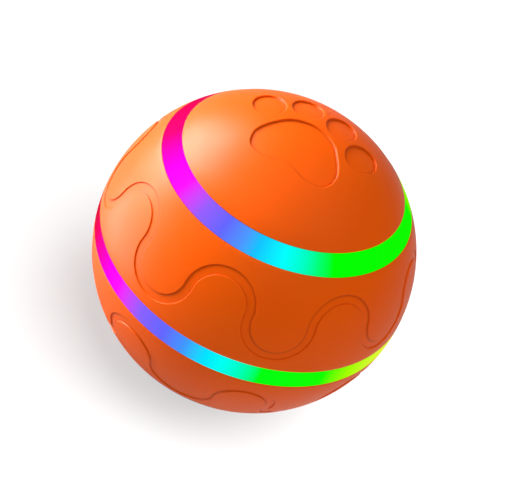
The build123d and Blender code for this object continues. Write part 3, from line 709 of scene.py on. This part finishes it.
# %% The rainbow, by degrees of longitude
upper_rainbow = [
    (-180, "FF4000"), (-107, "E01060"), (-91, "FF0060"), (-67, "FF0184"), (-45, "FF00FF"),
    (-33, "FF10FF"), (-19, "995FFF"), (-7, "6466FF"), (3, "4D97FF"), (9, "12C0FF"), (21, "00FFFF"),
    (29, "00FFCC"), (37, "00FF6D"), (43, "00FF00"), (111, "10F800"), (141, "F0FF00"), (180, "FF4000"),
]  # fmt: skip
middle_rainbow = [
    (-180, "FF4000"), (-63, "E01038"), (-53, "FF0063"), (-41, "FF01C8"), (-34, "FF00FF"),
    (-28, "FF10FF"), (-16, "8A62FF"), (-6, "6466FF"), (2, "4096FF"), (9, "00E0FF"), (15, "00FFF5"),
    (21, "00FFC4"), (28, "00FF10"), (51, "10FF00"), (63, "A8FF00"), (79, "E6F63C"), (125, "FF9000"),
    (180, "FF4000"),
]  # fmt: skip
print(len(upper_rainbow), "and", len(middle_rainbow), "stops of colour")

# %% The glowing finish
def ring_finish(name, rainbow):
    """A dark lens that glows. Its colour follows the angle round the axis, which starts at the back."""
    ring = Finish(name, base_color=colour("050505"), specular_ior_level=0.0, emission_strength=1.0)
    parts = ring.node("ShaderNodeSeparateXYZ", {}, {"Vector": place_on(ring)})
    angle = ring.node("ShaderNodeMath", {"operation": "ARCTAN2"}, {0: parts, 1: -1 * parts.other("Y")})
    stops = [((degrees_round + 180) / 360, colour(code)) for degrees_round, code in rainbow]
    ramp = ring.node("ShaderNodeValToRGB", {"stops": stops}, {"Fac": angle * (0.5 / pi) + 0.5})
    ring.feed("Emission Color", ramp)
    frost = noise(ring, 0.25 * MM, 3)
    raise_bumps(ring, frost, 0.01 * MM)
    ring.feed("Roughness", 0.45 + 0.15 * frost)
    return ring


print("the rings' colours follow their angle")

# %% Make the three rings
ring_outer_steps, ring_under_steps = 8, 4


def ring_mesh(low_edge, high_edge, inner):
    """A closed profile with two rounded edges, swept round the axis."""
    mesh = bmesh.new()
    outside = [(latitude, ball_radius) for latitude in between(high_edge, low_edge, ring_outer_steps)[1:-1]]
    under = [(latitude, inner) for latitude in between(low_edge, high_edge, ring_under_steps)]
    profile = rim(low_edge, 1) + under + list(reversed(rim(high_edge, -1))) + outside
    turn_profile(mesh, profile + profile[:1])
    return mesh


ring_inner = inner_reach("equator_light_ring")
rings = [
    ("equator", 0, middle_rainbow, "lower_half"),
    ("upper", ring_latitude, upper_rainbow, "upper_half"),
    ("lower", -ring_latitude, upper_rainbow, "lower_half"),
]
for level, latitude, rainbow, body in rings:
    mesh = ring_mesh(latitude - ring_half_angle, latitude + ring_half_angle, ring_inner)
    finish, node = ring_finish(f"{level}_ring", rainbow), f"{level}_light_ring"
    ring = add_piece(f"{level}_glow_ring", mesh, finish, body, node)
    print(ring.name, len(ring.data.polygons), "faces")

# %% [markdown]
# ## Finishes for the pieces inside
#
# The rest of the pieces show when the halves are screwed apart. Each material gets what the real one
# would have: turning marks on steel, a cast grain on the iron weight, pores in the sintered bushes, copper
# tracks under the green varnish of the board. Most of them share one pattern, two colours mixed by noise
# with a roughness that follows it, so one function makes them from a short list.

# %% One function for plain moulded and metal finishes
def plain_finish(name, colours, blot, roughness, bump, metallic=0.0, stretch=None, coat=0.0):
    """Two colours in blots, a gloss that follows them, and bumps a tenth as wide. Lengths are in mm."""
    made = Finish(name, metallic=metallic, coat_weight=coat)
    size = blot * MM
    cloud = noise(made, size, 3, stretch)
    made.feed("Base Color", blend_colours(made, cloud, colour(colours[0]), colour(colours[1])))
    low, high = roughness
    made.feed("Roughness", low + (high - low) * cloud)
    raise_bumps(made, noise(made, size / 10, 3, stretch), bump * MM)
    return made


print("plain finishes can be mixed")

# %% The plain finishes, each told in the order of that function's words
along_axis, round_axis, round_cell = (1, 1, 0.06), (0.12, 0.12, 3), (3, 1, 1)
plain_looks = {
    "frosted_core": (("DADDE0", "EEF0F1"), 9, (0.42, 0.58), 0.02),
    "steel": (("9C9EA2", "C4C6CA"), 2, (0.22, 0.4), 0.01, 1, round_axis),
    "weight_iron": (("4A4A4C", "68676A"), 1.6, (0.5, 0.75), 0.12, 0.8),
    "bronze": (("A9743A", "C99450"), 0.8, (0.35, 0.55), 0.03, 1),
    "white_gear": (("E4E1D6", "F2F0E8"), 4, (0.34, 0.46), 0.01),
    "black_plastic": (("0D0D0E", "1B1B1D"), 2, (0.45, 0.6), 0.03),
    "grey_plastic": (("505357", "5F6267"), 2.4, (0.42, 0.56), 0.03),
    "motor_steel": (("A8AAAE", "CDCED2"), 1.8, (0.2, 0.36), 0.01, 1, along_axis),
    "contact_metal": (("B7A372", "D9C894"), 1.2, (0.22, 0.36), 0.01, 1),
    "cell_wrap": (("0B2C80", "12409E"), 5, (0.2, 0.32), 0.05, 0, round_cell, 0.5),
    "seal_rubber": (("060606", "121212"), 3, (0.5, 0.7), 0.01),
    "led_body": (("F2EFD8", "FBF9EE"), 1, (0.3, 0.4), 0.01),
    "chip_black": (("0B0B0C", "171718"), 0.8, (0.5, 0.65), 0.02),
    "button_orange": (("F05000", "FF6410"), 3, (0.24, 0.34), 0.01, 0, None, 0.3),
}
finishes = {name: plain_finish(name, *look) for name, look in plain_looks.items()}
print(len(finishes), "plain finishes")

# %% Two finishes with a pattern of their own
def foam_finish():
    """Black foam whose bubbles stand open."""
    foam = Finish("foam", roughness=0.9)
    bubbles = cells(foam, 0.5 * MM)
    foam.feed("Base Color", blend_colours(foam, bubbles, colour("0E0E0F"), colour("2C2C2F")))
    raise_bumps(foam, 1 - bubbles, 0.25 * MM)
    return foam


def board_finish():
    """Green varnish over copper tracks, which stand a little proud of it."""
    board = Finish("board_green", coat_weight=0.4)
    tracks = cells(board, 2.6 * MM, "DISTANCE_TO_EDGE")
    copper = board.node("ShaderNodeMapRange", {}, {"Value": tracks, "From Min": 0.06, "From Max": 0.12})
    board.feed("Base Color", blend_colours(board, copper, colour("2F8A46"), colour("0E5A2B")))
    board.feed("Roughness", 0.28 + 0.1 * noise(board, 3 * MM))
    raise_bumps(board, 1 - copper, 0.03 * MM)
    return board


finishes["foam"] = foam_finish()
finishes["board_green"] = board_finish()
finishes["orange_skin"] = orange_skin
finishes["light_ring"] = finishes["led_body"]
print(len(finishes), "finishes in all")

# %% Give each CAD piece the finish of its slot
subparts = frame["record"]["subparts"]
for subpart in subparts:
    kept = finishes[subpart["material_slot"]].material
    materials = nodes[subpart["node"]].data.materials
    if len(materials) == 0:
        materials.append(kept)
    for n in range(len(materials)):
        materials[n] = kept
print("finished", len(subparts), "CAD pieces")

# %% [markdown]
# ## The light
#
# It is a product picture: a white ground, one soft shadow to the lower left and a broad soft shine down the
# upper left of the ball. Shine and shadow don't belong to one lamp, as often in such pictures, so each gets
# its own. Light linking keeps them apart: four lamps reach only the ball and one reaches only the ground.
# Of the four, one is the main light, one fills in from the front, and two are seen only as shine on the
# skin. The ground doesn't stop their light, because one of them stands lower than the ground. The rings
# glow too, and linking keeps their colours on the ball. Each lamp is aimed at the ball. Its strength is
# told by what it gives to a surface that faces it, where 1 shows the surface's own colour.

# %% Keep the ball's light and the ground's apart
ball_only = bpy.data.collections.new("ball_only")
for piece in list(bpy.context.scene.objects):
    if piece.type == "MESH":
        ball_only.objects.link(piece)
        piece.light_linking.receiver_collection = ball_only
floor_only = bpy.data.collections.new("floor_only")

# %% Soft lamps
def soft_box(name, way, reach, size, light_share, lit, glossy=True, diffuse=True):
    """A square lamp facing the ball. At a share of 1, what faces it looks as bright as it is written."""
    light = bpy.data.lights.new(name, "AREA")
    light.size = size
    light.energy = light_share * pi * pi * reach**2
    lamp = bpy.data.objects.new(name, light)
    lamp.matrix_world = way.to_track_quat("Z", "Y").to_matrix().to_4x4()
    lamp.location = way.normalized() * reach
    lamp.light_linking.receiver_collection = lit
    if lit == ball_only:
        # In this lamp's light, only the ball's own pieces throw a shadow.
        lamp.light_linking.blocker_collection = lit
    lamp.visible_glossy, lamp.visible_diffuse = glossy, diffuse
    bpy.context.scene.collection.objects.link(lamp)


def seen_way(right, up, back):
    """A direction told as the camera sees it."""
    return (picture_right * right + picture_up * up + picture_back * back).normalized()


print("lamps can be set")

# %% Set the five lamps: way, metres from the ball, size and share of light
soft_box("key_lamp", seen_way(-0.69, 0.72, 0.1), 0.7, 0.46, 2.25, ball_only, glossy=False)
soft_box("fill_lamp", seen_way(0.42, 0.32, 0.85), 0.9, 1.6, 0.82, ball_only, glossy=False)
soft_box("upper_shine_lamp", seen_way(-0.48, 0.82, 0.08), 0.7, 0.48, 5.4, ball_only, diffuse=False)
soft_box("left_shine_lamp", seen_way(-0.9, 0.35, -0.13), 0.7, 0.72, 3.9, ball_only, diffuse=False)
soft_box("ground_lamp", axis_way + 0.32 * side_way + 0.26 * front_way, 0.8, 0.7, 5.0, floor_only)
print(len(bpy.data.lights), "lamps are set")

# %% [markdown]
# ## The ground
#
# The ground is a white floor that curves up into a wall far behind, all round, as in a photographer's cove,
# so no edge shows from any side. A chain of edges is the cove's cross-section and is spun round the axis.
# To rays that see the ground, it glows: a little near the ball, where the lamp's light and the shadow
# have to show, and up to pure white far away, where the lamp's light fades. In shine it shows at a quarter
# of that, and the world gives no shine at all, because at full strength both lay a pale veil on the orange.

# %% The world: a little light from all round
world_light = 0.25
world = bpy.data.worlds.new("studio")
bpy.context.scene.world = world
world.use_nodes = True
sky = world.node_tree.nodes["Background"]
sky.inputs["Color"].default_value = (1, 1, 1, 1)
sky.inputs["Strength"].default_value = world_light
world.cycles_visibility.glossy = False
print("the world's light is", world_light)

# %% The cove
floor_hub, floor_reach, cove_round, wall_top = 0.001, 1.6, 0.4, 0.8
floor_steps, cove_steps, spin_steps = 8, 12, 96
cove_line = [(reach, 0) for reach in between(floor_hub, floor_reach, floor_steps)]
for turn in between(0, pi / 2, cove_steps)[1:]:
    cove_line.append((floor_reach + cove_round * sin(turn), cove_round * (1 - cos(turn))))
cove_line.append((floor_reach + cove_round, wall_top))

cove = bmesh.new()
corners = [cove.verts.new((reach, 0, height - ball_radius)) for reach, height in cove_line]
chain = [cove.edges.new(pair) for pair in zip(corners, corners[1:])]
bmesh.ops.spin(
    cove, geom=corners + chain, cent=(0, 0, 0), axis=axis_way, angle=2 * pi, steps=spin_steps, use_merge=True
)
cove_data = bpy.data.meshes.new("floor")
cove.to_mesh(cove_data)
cove.free()
cove_data.shade_smooth()
floor = bpy.data.objects.new("floor", cove_data)
bpy.context.scene.collection.objects.link(floor)
floor_only.objects.link(floor)
print("floor at", round(-ball_radius / MM, 2), "mm, wall", round(wall_top, 2), "m high")

# %% The ground's finish
near_glow, far_glow, near_reach, far_reach, shine_share = 0.61, 1.0, 0.2, 0.7, 0.25
ground = Finish("ground", roughness=0.6, emission_strength=1.0)
ground.feed("Base Color", blend_colours(ground, noise(ground, 0.2), colour("6A6A6A"), colour("6E6E6E")))
path = ground.node("ShaderNodeLightPath", {}, {})
seen = path + path.other("Is Glossy Ray") * shine_share + path.other("Is Transmission Ray")
far = ground.node("ShaderNodeVectorMath", {"operation": "LENGTH"}, {0: place_on(ground)}).other("Value")
glow = ground.node(
    "ShaderNodeMapRange",
    {"interpolation_type": "SMOOTHSTEP"},
    {"Value": far, "From Min": near_reach, "From Max": far_reach, "To Min": near_glow, "To Max": far_glow},
)
ground.feed("Emission Color", blend_colours(ground, glow * seen, colour("000000"), colour("FFFFFF")))
cove_data.materials.append(ground.material)
print("the ground glows from", near_glow, "near the ball to", far_glow, "from", far_reach, "m on")
